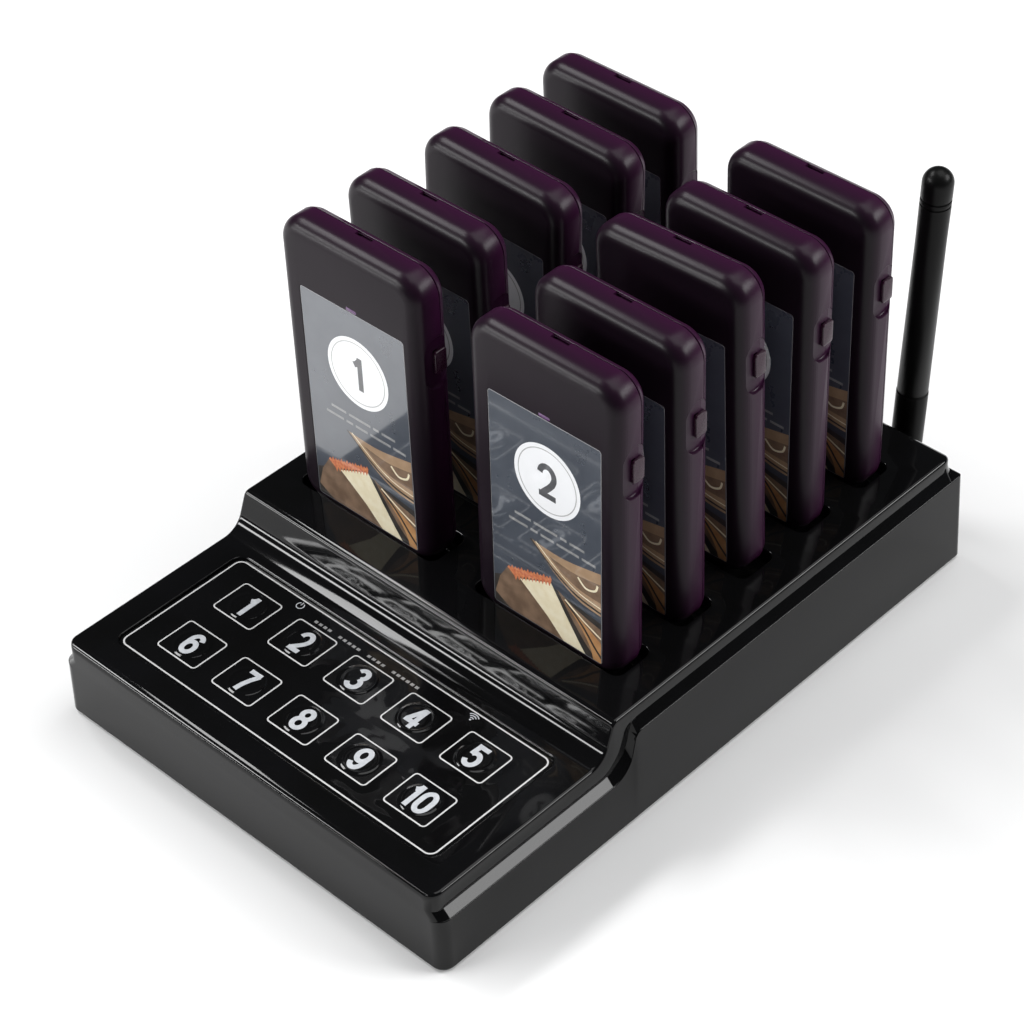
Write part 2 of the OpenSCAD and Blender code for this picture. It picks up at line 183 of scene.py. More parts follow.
def rounded(w, h, r, steps=8, cx=0.0, cy=0.0):
    """Points of a rounded rectangle, counter-clockwise."""
    r = max(r, 0.02)
    points = []
    for sx, sy, start in ((1, 1, 0), (-1, 1, 90), (-1, -1, 180), (1, -1, 270)):
        for k in range(steps + 1):
            a = math.radians(start + 90 * k / steps)
            points.append((cx + sx * (w / 2 - r) + r * math.cos(a),
                           cy + sy * (h / 2 - r) + r * math.sin(a)))
    return points


def circle(r, steps, cx=0.0, cy=0.0):
    """Points of a circle, counter-clockwise."""
    turns = [2 * math.pi * k / steps for k in range(steps)]
    return [(cx + r * math.cos(t), cy + r * math.sin(t)) for t in turns]


def round_x(x, r, steps):
    """A circle round the x axis, at x."""
    return [(x, y, z) for y, z in circle(r, steps)]


def round_y(y, r, steps, cx=0.0, cz=0.0):
    """A circle round a line along y, at y."""
    return [(x, y, z) for x, z in circle(r, steps, cx, cz)]


def boolean(obj, cutter, operation="DIFFERENCE", crease=32.0):
    """Applies an exact boolean and removes the cutter."""
    mod = obj.modifiers.new("bool", "BOOLEAN")
    mod.operation = operation
    mod.solver = "EXACT"
    mod.object = cutter
    graph = bpy.context.evaluated_depsgraph_get()
    result = bpy.data.meshes.new_from_object(obj.evaluated_get(graph))
    obj.modifiers.clear()
    obj.data = result
    bpy.data.objects.remove(cutter)
    clean(obj, crease)


def ribbon(path, width, closed=False):
    """A flat strip of constant width along a 2-D path, with mitred joints."""
    n = len(path)
    left, right = [], []
    for i, p in enumerate(path):
        before = path[i - 1] if (i or closed) else None
        after = path[(i + 1) % n] if (i < n - 1 or closed) else None
        dirs = []
        if before is not None:
            dirs.append((Vector(p) - Vector(before)).normalized())
        if after is not None:
            dirs.append((Vector(after) - Vector(p)).normalized())
        tangent = (dirs[0] + dirs[-1]).normalized()
        normal = Vector((-tangent.y, tangent.x))
        stretch = 1 / max(0.5, normal.dot(Vector((-dirs[0].y, dirs[0].x))))
        half = normal * (width / 2 * stretch)
        left.append(tuple(Vector(p) + half))
        right.append(tuple(Vector(p) - half))
    verts = left + right
    faces = [(i, (i + 1) % n, n + (i + 1) % n, n + i) for i in range(n if closed else n - 1)]
    return verts, faces


# ---------------------------------------------------------------- materials

def nodes_of(name):
    """A new material with its node tree and its main shader."""
    mat = bpy.data.materials.new(name)
    mat.use_nodes = True
    tree = mat.node_tree
    return mat, tree, tree.nodes["Principled BSDF"]


def add(tree, kind, **values):
    """A new shader node with the given settings."""
    node = tree.nodes.new(kind)
    for key, value in values.items():
        setattr(node, key, value)
    return node


def object_noise(tree, scale, detail=3.0, rough=0.55):
    """Noise in the piece's own coordinates, in features per metre."""
    coords = add(tree, "ShaderNodeTexCoord")
    tex = add(tree, "ShaderNodeTexNoise")
    tex.inputs["Scale"].default_value = scale
    tex.inputs["Detail"].default_value = detail
    tex.inputs["Roughness"].default_value = rough
    tree.links.new(coords.outputs["Object"], tex.inputs["Vector"])
    return tex


def ramp(tree, source, low, high, c0, c1):
    node = add(tree, "ShaderNodeValToRGB")
    node.color_ramp.elements[0].position = low
    node.color_ramp.elements[1].position = high
    node.color_ramp.elements[0].color = (*c0, 1)
    node.color_ramp.elements[1].color = (*c1, 1)
    tree.links.new(source, node.inputs["Fac"])
    return node


def grey(v):
    return (v, v, v)


def add_bump(tree, bsdf, source, strength, distance):
    bump = add(tree, "ShaderNodeBump")
    bump.inputs["Strength"].default_value = strength
    bump.inputs["Distance"].default_value = distance
    tree.links.new(source, bump.inputs["Height"])
    tree.links.new(bump.outputs["Normal"], bsdf.inputs["Normal"])


def moulded(name, colour, tint, rough, spread, grain, grain_depth, coat=0.0, coat_rough=0.03,
            drift=40.0, metallic=0.0, specular=0.5, coat_ior=1.5, deep=None):
    """Moulded plastic or rubber: drifting colour, uneven gloss, fine grain.
    deep is (colour, from, to): a colour that takes over along the piece's own y, in millimetres."""
    mat, tree, bsdf = nodes_of(name)
    broad = object_noise(tree, drift, 4.0)
    fine = object_noise(tree, grain, 5.0, 0.6)
    shade = ramp(tree, broad.outputs["Fac"], 0.3, 0.7, colour, tint)
    colour_out = shade.outputs["Color"]
    if deep:
        coords = add(tree, "ShaderNodeTexCoord")
        split = add(tree, "ShaderNodeSeparateXYZ")
        zone = add(tree, "ShaderNodeMapRange")
        zone.inputs["From Min"].default_value = deep[1] * MM
        zone.inputs["From Max"].default_value = deep[2] * MM
        blend = add(tree, "ShaderNodeMix", data_type="RGBA")
        blend.inputs["B"].default_value = (*deep[0], 1)
        tree.links.new(coords.outputs["Object"], split.inputs["Vector"])
        tree.links.new(split.outputs["Y"], zone.inputs["Value"])
        tree.links.new(zone.outputs["Result"], blend.inputs["Factor"])
        tree.links.new(colour_out, blend.inputs["A"])
        colour_out = blend.outputs["Result"]
    tree.links.new(colour_out, bsdf.inputs["Base Color"])
    gloss = ramp(tree, fine.outputs["Fac"], 0.3, 0.75, grey(rough - spread), grey(rough + spread))
    tree.links.new(gloss.outputs["Color"], bsdf.inputs["Roughness"])
    add_bump(tree, bsdf, fine.outputs["Fac"], 0.25, grain_depth)
    bsdf.inputs["Coat Weight"].default_value = coat
    bsdf.inputs["Coat Roughness"].default_value = coat_rough
    bsdf.inputs["Coat IOR"].default_value = coat_ior
    bsdf.inputs["Metallic"].default_value = metallic
    bsdf.inputs["Specular IOR Level"].default_value = specular
    return mat


def printed(name, colour, tint, coat=0.6, rough=0.4, drift=700.0):
    """Screen-printed ink under a clear film; a full coat is the shinier pane of a pager."""
    mat, tree, bsdf = nodes_of(name)
    blotch = object_noise(tree, drift, 3.0)
    shade = ramp(tree, blotch.outputs["Fac"], 0.35, 0.65, colour, tint)
    tree.links.new(shade.outputs["Color"], bsdf.inputs["Base Color"])
    gloss = ramp(tree, blotch.outputs["Fac"], 0.3, 0.7, grey(rough - 0.05), grey(rough + 0.05))
    tree.links.new(gloss.outputs["Color"], bsdf.inputs["Roughness"])
    bsdf.inputs["Coat Weight"].default_value = coat
    bsdf.inputs["Coat Roughness"].default_value = 0.04
    bsdf.inputs["Coat IOR"].default_value = 1.7 if coat == 1.0 else 1.5
    return mat


BASE_BLACK = moulded("base_black", grey(0.0030), (0.0042, 0.0042, 0.0048), 0.06, 0.02, 2600, 0.000003,
                     specular=0.23)
UNDER_BLACK = moulded("underside_black", grey(0.02), grey(0.03), 0.5, 0.1, 3000, 0.00003)
FILM_BLACK = moulded("film_black", grey(0.0030), (0.0045, 0.0045, 0.005), 0.045, 0.012, 1800, 0.000002,
                     specular=0.27)
CASE = moulded("pager_aubergine", (0.0070, 0.0038, 0.0070), (0.0095, 0.0046, 0.0090), 0.33, 0.04,
               4200, 0.000006, specular=0.16, deep=((0.030, 0.0050, 0.025), -6.0, 2.6))
CASE_REAR = moulded("pager_aubergine_rear", (0.028, 0.0055, 0.024), (0.036, 0.0068, 0.031), 0.3, 0.04,
                    4200, 0.000006, specular=0.28)
SWITCH = moulded("pager_switch_plastic", (0.024, 0.005, 0.016), (0.032, 0.007, 0.022), 0.28, 0.04,
                 4200, 0.000006, specular=0.4)
LABEL_GLASS = moulded("label_pane", (0.054, 0.063, 0.082), (0.078, 0.090, 0.112), 0.3, 0.04, 90,
                      0.00003, coat=1.0, coat_rough=0.05, drift=60.0, coat_ior=1.9)
# the pane's edge ring is light grey as a painted highlight, not the pane's own colour
PANE_RIM_HIGHLIGHT = moulded("label_pane_rim_highlight", (0.22, 0.22, 0.23), (0.32, 0.32, 0.33), 0.15, 0.04, 2000, 0.000002,
                   coat=1.0)
WHITE_INK = printed("white_ink", grey(0.60), grey(0.68))
KEY_INK = printed("key_number_ink", (0.50, 0.52, 0.55), (0.58, 0.60, 0.63))
DISC_WHITE = printed("disc_white", (0.93, 0.94, 0.96), (0.95, 0.96, 0.98), coat=1.0, rough=0.3, drift=90)
DISC_GREY = printed("disc_ring_grey", grey(0.42), grey(0.48), coat=1.0)
NUMBER_GREY = printed("number_grey", (0.075, 0.077, 0.082), (0.10, 0.10, 0.11), coat=1.0)
CREAM = printed("picture_cream", (0.86, 0.76, 0.52), (0.93, 0.85, 0.64), coat=1.0, drift=320)
TAN = printed("picture_tan", (0.34, 0.22, 0.13), (0.42, 0.28, 0.17), coat=1.0, drift=260)
DEEP_TAN = printed("picture_deep_tan", (0.15, 0.095, 0.062), (0.24, 0.155, 0.10), coat=1.0, drift=260)
PICTURE_GROUND = printed("picture_ground", (0.030, 0.027, 0.025), (0.05, 0.042, 0.036), coat=1.0, drift=300)
AMBER_TAN = printed("picture_amber_tan", (0.42, 0.20, 0.08), (0.55, 0.30, 0.13), coat=1.0, drift=200)
AMBER = printed("picture_amber", (0.55, 0.13, 0.06), (0.72, 0.28, 0.12), coat=1.0, drift=900)
GREEK = printed("small_print_grey", grey(0.25), grey(0.32), coat=1.0)
RUBBER = moulded("aerial_satin_black", grey(0.003), grey(0.005), 0.34, 0.05, 5200, 0.00001, specular=0.13)
KNUCKLE = moulded("knuckle_black", grey(0.006), grey(0.009), 0.32, 0.06, 4200, 0.00001)
FOOT_RUBBER = moulded("foot_rubber", grey(0.012), grey(0.02), 0.75, 0.08, 3500, 0.00004)
PIN_STEEL = moulded("pin_steel", (0.45, 0.45, 0.46), (0.55, 0.55, 0.56), 0.3, 0.08, 4000, 0.00001,
                    metallic=1.0)
GOLD = moulded("contact_gold", (0.75, 0.52, 0.2), (0.85, 0.6, 0.27), 0.24, 0.06, 4000, 0.00001,
               metallic=1.0)
BOARD = moulded("solder_mask", (0.012, 0.10, 0.035), (0.02, 0.13, 0.05), 0.3, 0.06, 1500, 0.00001)
LED = moulded("status_lens", (0.07, 0.02, 0.09), (0.10, 0.03, 0.13), 0.2, 0.04, 2000, 0.00001, coat=0.5)


# ---------------------------------------------------------------- base

def smooth_step(t):
    """Eases from 0 to 1 as t does."""
    t = min(1.0, max(0.0, t))
    return t * t * (3 - 2 * t)


def edge_drop(distance, r):
    """How far a surface has dropped at this distance in from a rounded edge of radius r."""
    if distance >= r:
        return 0.0
    return r - math.sqrt(max(0.0, r * r - (r - distance) ** 2))


def s_curve(y, start, run, low, high, r_low, r_high):
    """Height of a step that leans back, with a rounded foot and a rounded top."""
    slope = (high - low) / run
    angle = math.atan(slope)
    foot_len = r_low * math.tan(angle / 2)
    top_len = r_high * math.tan(angle / 2)
    t = y - start
    if t <= -foot_len:
        return low
    foot_end = foot_len * math.cos(angle)
    if t < foot_end:
        x = t + foot_len
        return low + r_low - math.sqrt(max(0.0, r_low ** 2 - x * x))
    top_start = run - top_len * math.cos(angle)
    if t < top_start:
        return low + slope * t
    if t < run + top_len:
        x = run + top_len - t
        return high - r_high + math.sqrt(max(0.0, r_high ** 2 - x * x))
    return high


def deck_height(y):
    """Top of the raised body: keypad deck, step, pager deck."""
    return s_curve(y - FRONT, STEP_AT, STEP_RUN, KEY_DECK, PAGER_DECK, 8.0, 2.0)


def lip_height(y):
    """Top of the outer lip, which steps up a little behind the decks' step."""
    return s_curve(y - FRONT, STEP_AT + 8.0, 3.6, LIP_FRONT, LIP_REAR, 9.0, 2.8)


def cove(y, top):
    """Sloping foot of the raised body on the lip: how far out, its height, and where it starts."""
    lip = lip_height(y)
    flare = HALF_W - SIDE_DRAFT * (lip - FOOT) / (LIP_REAR - FOOT) - 0.3 - RAISED_HALF
    behind = smooth_step((y - FRONT - STEP_AT + 1.0) / 8.0)
    return flare, lip + 0.05, min(lip + 2.3 + 0.9 * behind, top - 1.3)


def stations(start, end, marks, fine=0.25, coarse=6.0, spread=5.0):
    """Places along the base, close together near the marks."""
    places, y = [start], start
    while y < end:
        near = min(abs(y + fine - m) for m in marks)
        y += fine if near < spread else min(coarse, max(fine, near - spread))
        places.append(min(y, end))
    return places


def rib(y, half, z0, top, side_r, draft, foot=None, steps=6):
    """Cross-section of a body at y: side walls that lean in, rounded top edges, maybe a sloping foot."""
    z_arc = top - side_r
    shoulder = half - draft * (z_arc - z0) / (LIP_REAR - FOOT)
    if foot:
        flare, foot_z, start_z = foot
        right = [(half + flare, y, z0), (half + flare, y, foot_z), (shoulder, y, min(start_z, z_arc - 0.02))]
    else:
        right = [(half, y, z0)]
    for k in range(steps + 1):
        a = math.radians(90 * k / steps)
        right.append((shoulder - side_r + side_r * math.cos(a), y, z_arc + side_r * math.sin(a)))
    left = [(-x, yy, z) for x, yy, z in reversed(right)]
    return right + left


def swept_body(start, end, half, z0, height, corners, ends, side_r, draft, marks, foot=None):
    """A body along Y with rounded plan corners, rounded ends and a free top line."""
    (front_c, rear_c), (front_r, rear_r) = corners, ends
    places = set()
    for r_front, r_rear in (corners, ends):
        for a in range(0, 91, 9):
            places.add(start + r_front * (1 - math.cos(math.radians(a))))
            places.add(end - r_rear * (1 - math.cos(math.radians(a))))
    places.update(y for y in stations(start, end, marks) if start + front_c < y < end - rear_c)
    rings = []
    for y in sorted(set(round(v, 4) for v in places)):
        inset = edge_drop(y - start, front_c) + edge_drop(end - y, rear_c)
        top = height(y) - edge_drop(y - start, front_r) - edge_drop(end - y, rear_r)
        rings.append(rib(y, half - inset, z0, top, side_r, draft, foot(y, top) if foot else None))
    return loft(rings)


def flared_cutter(w, l, r, cx, cy, floor, deck, flare=0.5, above=1.5):
    """A pocket cutter whose mouth opens in a small radius, so the rim is rounded."""
    rings = [[(x, y, floor) for x, y in rounded(w, l, r, 8, cx, cy)]]
    for a in range(0, 91, 15):
        t = math.radians(a)
        grow = 2 * flare * (1 - math.cos(t))
        z = deck - flare + flare * math.sin(t)
        rings.append([(x, y, z) for x, y in rounded(w + grow, l + grow, r + grow / 2, 8, cx, cy)])
    rings.append([(x, y, deck + above) for x, y in
                  rounded(w + 2 * flare, l + 2 * flare, r + flare, 8, cx, cy)])
    return loft(rings)


def well_centre(n):
    """Middle of a pager's well, from the charge pins' grid."""
    pins_low, pins_high = mm_box("charge_contacts")
    row = (n - 1) // 2
    pitch = (pins_high.y - pins_low.y - 2 * PIN_R) / 4
    x = (pins_low.x + PIN_SIDE) if n % 2 else (pins_high.x - PIN_SIDE)
    return x, pins_low.y + PIN_R + PIN_AHEAD + row * pitch


def build_base():
    """Top shell: lip and raised body with wells, film recess, pin windows, inlet and aerial pad."""
    lip_marks = [FRONT, FRONT + STEP_AT + 3, FRONT + STEP_AT + 10, REAR]
    deck_marks = [FRONT, FRONT + STEP_AT - 2, FRONT + STEP_AT + 5, RAISED_REAR]
    lip = make_object("top_shell_form", *swept_body(
        FRONT, REAR, HALF_W, FOOT, lip_height, (PLAN_R, REAR_PLAN_R), (0.9, 1.6), 0.35, SIDE_DRAFT,
        lip_marks), BASE_BLACK)
    for v in lip.data.vertices:
        y, z = v.co.y / MM, v.co.z / MM
        lean = smooth_step((y - REAR + 20) / 20) * REAR_DRAFT * (z - FOOT) / (LIP_REAR - FOOT)
        v.co.y -= lean * MM
    raised = make_object("raised_form", *swept_body(
        FRONT, RAISED_REAR, RAISED_HALF, FOOT + 12, deck_height, (PLAN_R, DECK_REAR_PLAN_R), (2.5, 4.5),
        1.1, 0.35, deck_marks, cove), BASE_BLACK)
    boolean(lip, raised, "UNION")
    well_floor = PAGER_DECK - WELL_DEPTH
    wells = [well_centre(n) for n in PAGERS]
    cutters = [flared_cutter(WELL_W, WELL_L, WELL_R, cx, cy, well_floor, PAGER_DECK) for cx, cy in wells]
    cutters.append(flared_cutter(FILM_W + 0.6, FILM_L + 0.6, 3.8, FILM_X, FILM_Y, FILM_LOW.z, KEY_DECK, 0.55))
    boolean(lip, make_object("cut_pockets", *join_parts(cutters), None))
    plate = make_object("cut_plate", *loft([[(x, y, z) for x, y in rounded(
        PLATE_HIGH.x - PLATE_LOW.x + 0.6, PLATE_HIGH.y - PLATE_LOW.y + 0.6, 2.6, 8,
        0, (PLATE_LOW.y + PLATE_HIGH.y) / 2)] for z in (FOOT - 1, PLATE_HIGH.z)]), None)
    boolean(lip, plate)
    windows = [loft([[(x, y, z) for x, y in rounded(14, 4.4, 0.6, 4, cx, cy - PIN_AHEAD)]
                     for z in (well_floor - 2, well_floor + 1)]) for cx, cy in wells]
    windows.append(loft([round_y(y, INLET_R, 40, INLET_X, INLET_Z) for y in (REAR - 16, REAR + 2)]))
    boolean(lip, make_object("cut_windows", *join_parts(windows), None))
    at = joint("antenna_swivel")["pos_m"]
    pad = [round_y(y, r, 64, at[0] / MM, at[2] / MM)
           for r, y in ((7.0, REAR - 6.0), (7.0, REAR - 0.8), (6.8, REAR - 0.6))]
    boolean(lip, make_object("aerial_pad", *loft(pad), None), "UNION")
    lip.name = "top_shell_moulding"
    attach(lip, "base")
    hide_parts("top_shell")


# ---------------------------------------------------------------- glyphs

def ellipse(cx, cy, rx, ry, a0, a1, steps=14):
    """Points of an elliptic arc; angles in degrees."""
    return [(cx + rx * math.cos(math.radians(a0 + (a1 - a0) * k / steps)),
             cy + ry * math.sin(math.radians(a0 + (a1 - a0) * k / steps)))
            for k in range(steps + 1)]


# centre lines of plain numerals in a cell 1 wide and 1 high: (points, closed)
DIGITS = {
    "0": [(ellipse(0.5, 0.66, 0.5, 0.34, 0, 180, 14) + ellipse(0.5, 0.34, 0.5, 0.34, 180, 360, 14), True)],
    "1": [([(0.0, 0.78), (0.45, 0.85), (0.85, 1.0)], False), ([(0.85, 1.08), (0.85, -0.08)], False)],
    "2": [(ellipse(0.5, 0.70, 0.5, 0.30, 175, -20, 16)
           + [(0.86, 0.46), (0.62, 0.30), (0.30, 0.12), (0.10, 0.0)], False),
          ([(-0.10, 0.0), (1.10, 0.0)], False)],
    "3": [(ellipse(0.46, 0.765, 0.46, 0.235, 160, -75, 14), False),
          (ellipse(0.46, 0.265, 0.54, 0.265, 78, -160, 16), False)],
    "4": [([(0.74, -0.08), (0.74, 1.06)], False),
          ([(0.66, 1.0), (0.02, 0.30), (0.02, 0.24), (1.16, 0.24)], False)],
    "5": [([(1.04, 1.0), (0.08, 1.0), (0.03, 0.52)], False),
          (ellipse(0.46, 0.325, 0.54, 0.325, 140, -160, 18), False)],
    "6": [(ellipse(0.5, 0.31, 0.5, 0.31, 0, 360, 26)[:-1], True),
          ([(0.0, 0.31)] + ellipse(0.5, 0.66, 0.5, 0.34, 178, 22, 14), False)],
    "7": [([(-0.10, 1.0), (1.12, 1.0)], False),
          ([(0.98, 0.96), (0.66, 0.62), (0.46, 0.28), (0.36, -0.08)], False)],
    "8": [(ellipse(0.5, 0.765, 0.45, 0.235, 0, 360, 24)[:-1], True),
          (ellipse(0.5, 0.265, 0.5, 0.265, 0, 360, 24)[:-1], True)],
    "9": [(ellipse(0.5, 0.69, 0.5, 0.31, 0, 360, 26)[:-1], True),
          ([(1.0, 0.69)] + ellipse(0.5, 0.34, 0.5, 0.34, -2, -158, 14), False)],
}


def prism(outline, z0, z1):
    """A thin closed solid over a flat outline."""
    return loft([[(x, y, z0) for x, y in outline], [(x, y, z1) for x, y in outline]])


def strip_solid(path, width, z0, z1, closed=False):
    """A thin closed solid along a path, skinned over its cross-sections."""
    flat, n = ribbon(path, width, closed)[0], len(path)
    rings = [[(*flat[i], z0), (*flat[n + i], z0), (*flat[n + i], z1), (*flat[i], z1)] for i in range(n)]
    return loft(rings + rings[:1] if closed else rings, cap=not closed)


def number_parts(text, cx, cy, height, width, stroke, z0, z1, gap):
    """Numerals as thin solids, centred on (cx, cy)."""
    parts, inner = [], height - stroke
    widths = [width * (0.66 if ch == "1" else 1) for ch in text]
    x0 = cx - (sum(widths) + (len(text) - 1) * gap) / 2 + stroke / 2
    for ch, wide in zip(text, widths):
        for j, (points, closed) in enumerate(DIGITS[ch]):
            path = [(x0 + px * (wide - stroke), cy - inner / 2 + py * inner) for px, py in points]
            parts.append(strip_solid(path, stroke, z0, z1 + 0.002 * j, closed))
        x0 += wide + gap
    return parts


# ---------------------------------------------------------------- keypad

def wave(x, y):
    """Slow ripple of the stuck-down film, in millimetres."""
    return 0.14 * noise.noise(Vector((x / 13.0, y / 10.0, 0.3))) + \
        0.02 * noise.noise(Vector((x / 5.0, y / 5.0, 4.1)))


def key_centre(k):
    """Middle of a key in plan."""
    low, high = mm_box(f"key_{k}")
    return (low.x + high.x) / 2, (low.y + high.y) / 2


KEY_AT = {k: key_centre(k) for k in KEYS}


def near_key(x, y):
    """Distance outside the nearest key's edge."""
    best = 99.0
    for cx, cy in KEY_AT.values():
        dx, dy = abs(x - cx) - KEY_W / 2, abs(y - cy) - KEY_L / 2
        best = min(best, math.hypot(max(dx, 0), max(dy, 0)))
    return best


def film_top(x, y, edge):
    """Height of the film at a distance in from its edge, where the ripple dies out and it turns down."""
    return FILM_TOP + wave(x, y) * smooth_step(edge / 3) - 0.12 * (1 - smooth_step(edge / 0.8))


def key_ridge(x, y):
    """How far the film stands up round the keys."""
    return 0.10 * math.exp(-(near_key(x, y) / 1.3) ** 2)


def film_sheet(name, w, l, r, columns, rows, centre, height):
    """A solid of film: rounded outline, height(u, v) on top, walls down to the film's bed."""
    cx, cy = centre
    bm = bmesh.new()
    grid = []
    for j in range(rows + 1):
        line = []
        for i in range(columns + 1):
            u, v = -w / 2 + w * i / columns, -l / 2 + l * j / rows
            # pull the corners of the grid onto the rounded outline
            ex, ey = abs(u) - (w / 2 - r), abs(v) - (l / 2 - r)
            if ex > 0 and ey > 0:
                reach, length = max(ex, ey), math.hypot(ex, ey)
                u = math.copysign(w / 2 - r + ex / length * reach, u)
                v = math.copysign(l / 2 - r + ey / length * reach, v)
            line.append(bm.verts.new(((cx + u) * MM, (cy + v) * MM, height(u, v) * MM)))
        grid.append(line)
    for j in range(rows):
        for i in range(columns):
            bm.faces.new((grid[j][i], grid[j][i + 1], grid[j + 1][i + 1], grid[j + 1][i]))
    out = bmesh.ops.extrude_edge_only(bm, edges=[e for e in bm.edges if e.is_boundary])
    for v in out["geom"]:
        if isinstance(v, bmesh.types.BMVert):
            v.co.z = FILM_LOW.z * MM
    bmesh.ops.contextual_create(bm, geom=[e for e in bm.edges if e.is_boundary])
    mesh = bpy.data.meshes.new(name)
    bm.to_mesh(mesh)
    bm.free()
    mesh.materials.append(FILM_BLACK)
    return in_scene(name, mesh)


def build_film():
    """The printed film: rippled top, openings for the keys."""
    def height(u, v):
        x, y = FILM_X + u, FILM_Y + v
        edge = min(FILM_W / 2 - abs(u), FILM_L / 2 - abs(v))
        return film_top(x, y, edge) + key_ridge(x, y) * smooth_step(edge / 2)

    film = film_sheet("keypad_film", FILM_W, FILM_L, 3.5, 130, 50, (FILM_X, FILM_Y), height)
    holes = [loft([[(x, y, z) for x, y in rounded(KEY_W + 0.24, KEY_L + 0.24, KEY_R, 5, *KEY_AT[k])]
                   for z in (FILM_LOW.z - 1, FILM_TOP + 1)]) for k in KEYS]
    boolean(film, make_object("cut_keys", *join_parts(holes), None), crease=40)
    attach(film, "base")
    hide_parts("keypad_overlay")


def key_surface(u, v):
    """Height of a key over the film: a snap dome pressed up under the film."""
    r = math.hypot(u, v)
    ring = 0.20 * math.exp(-((r - 5.3) / 0.55) ** 2)
    crown = 0.16 * smooth_step((5.6 - r) / 2.4)
    edge = min(KEY_W / 2 - abs(u), KEY_L / 2 - abs(v))
    return (ring + crown) * smooth_step(edge / 0.8) + 0.10 - 0.03 * (1 - smooth_step(edge / 0.35))


def split_long_edges(obj, over_m, cuts):
    """Divides edges over a length in metres, so that flat ink can follow a surface."""
    bm = bmesh.new()
    bm.from_mesh(obj.data)
    long = [e for e in bm.edges if e.calc_length() > over_m]
    bmesh.ops.subdivide_edges(bm, edges=long, cuts=cuts, use_grid_fill=True)
    bmesh.ops.triangulate(bm, faces=[f for f in bm.faces if len(f.verts) > 4])
    bm.to_mesh(obj.data)
    bm.free()


def drape(obj, height, lift):
    """Lays flat ink a little above the surface height(x, y)."""
    for vert in obj.data.vertices:
        surface = height(vert.co.x / MM, vert.co.y / MM)
        vert.co.z = (surface + lift + vert.co.z / MM) * MM
    obj.data.update()


def build_key(k):
    """A key: its patch of domed film with a plunger under it, an outline and a number."""
    cx, cy = KEY_AT[k]

    def height(u, v):
        return FILM_TOP + key_surface(u, v) + 0.6 * wave(cx + u, cy + v)

    key = film_sheet(f"key_{k}_cap", KEY_W, KEY_L, KEY_R, 46, 46, KEY_AT[k], height)
    plunger = make_object("plunger", *loft(
        [[(x, y, z) for x, y in circle(r, 32, cx, cy)]
         for r, z in ((2.7, FILM_LOW.z - 1.2), (3.0, FILM_LOW.z - 0.9), (3.0, FILM_LOW.z + 0.2))]), None)
    boolean(key, plunger, "UNION", crease=40)
    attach(key, f"key_{k}")
    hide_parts(f"key_{k}")

    def surface(x, y):
        return FILM_TOP + key_surface(x - cx, y - cy) + 0.6 * wave(x, y)

    frame_line = make_object(f"key_{k}_outline", *strip_solid(
        rounded(KEY_W - 0.5, KEY_L - 0.5, 1.2, 6, cx, cy), 0.45, 0.0, INK, True), WHITE_INK)
    split_long_edges(frame_line, 0.0008, 8)
    drape(frame_line, surface, 0.012)
    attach(frame_line, f"key_{k}")
    numeral = make_object(f"key_{k}_numeral", *join_parts(number_parts(
        str(k), cx, cy, 9.4, 5.3, 1.65, 0.0, INK, 0.5)), KEY_INK)
    split_long_edges(numeral, 0.0008, 3)
    drape(numeral, surface, 0.02)
    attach(numeral, f"key_{k}")


def build_print():
    """White border, icons and plain caption bars on the film."""
    def surface(x, y):
        edge = min(FILM_HIGH.x - abs(x), y - FILM_LOW.y, FILM_HIGH.y - y)
        return film_top(x, y, edge) + key_ridge(x, y)

    def lay(name, parts, material):
        obj = make_object(name, *join_parts(parts), material)
        split_long_edges(obj, 0.002, 40)
        drape(obj, surface, 0.012)
        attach(obj, "base")

    border = rounded(BORDER_W, BORDER_L, 2.6, 8, 0, FILM_Y)
    lay("keypad_border", [strip_solid(border, 0.5, 0, INK, True)], WHITE_INK)
    x, y = -35.8, FILM_HIGH.y - 3.3
    icons = [strip_solid(ellipse(x, y, 1.25, 1.25, 120, 420, 20), 0.3, 0, INK),
             strip_solid([(x, y + 0.2), (x, y + 1.6)], 0.3, 0, INK)]
    x, y = 35.5, FILM_HIGH.y - 4.2
    icons += [strip_solid(ellipse(x, y, r, r, 45, 135, 10), 0.35, 0, INK) for r in (0.9, 1.7, 2.5)]
    icons.append(prism(ellipse(x, y, 0.35, 0.35, 0, 350, 12), 0, INK))
    lay("keypad_icons", icons, KEY_INK)
    bars, x, y = [], -27.6, FILM_HIGH.y - 5.1
    for length in (9.2, 10.6, 9.0, 11.4):
        for _ in range(int(length / 1.9)):
            bars.append(strip_solid([(x, y), (x + 1.25, y)], 1.0, 0, INK))
            x += 1.9
        x += 2.6
    lay("keypad_caption_bars", bars, GREEK)


# ---------------------------------------------------------------- pagers

def case_ring(y, inset, trim=0.0):
    """A pager's outline at depth y, drawn in by inset and trim."""
    i = inset + trim
    return [(x, y, z + PAGER_H / 2) for x, z in
            rounded(PAGER_W - 2 * i, PAGER_H - 2 * i, CORNER_R - i, 12)]


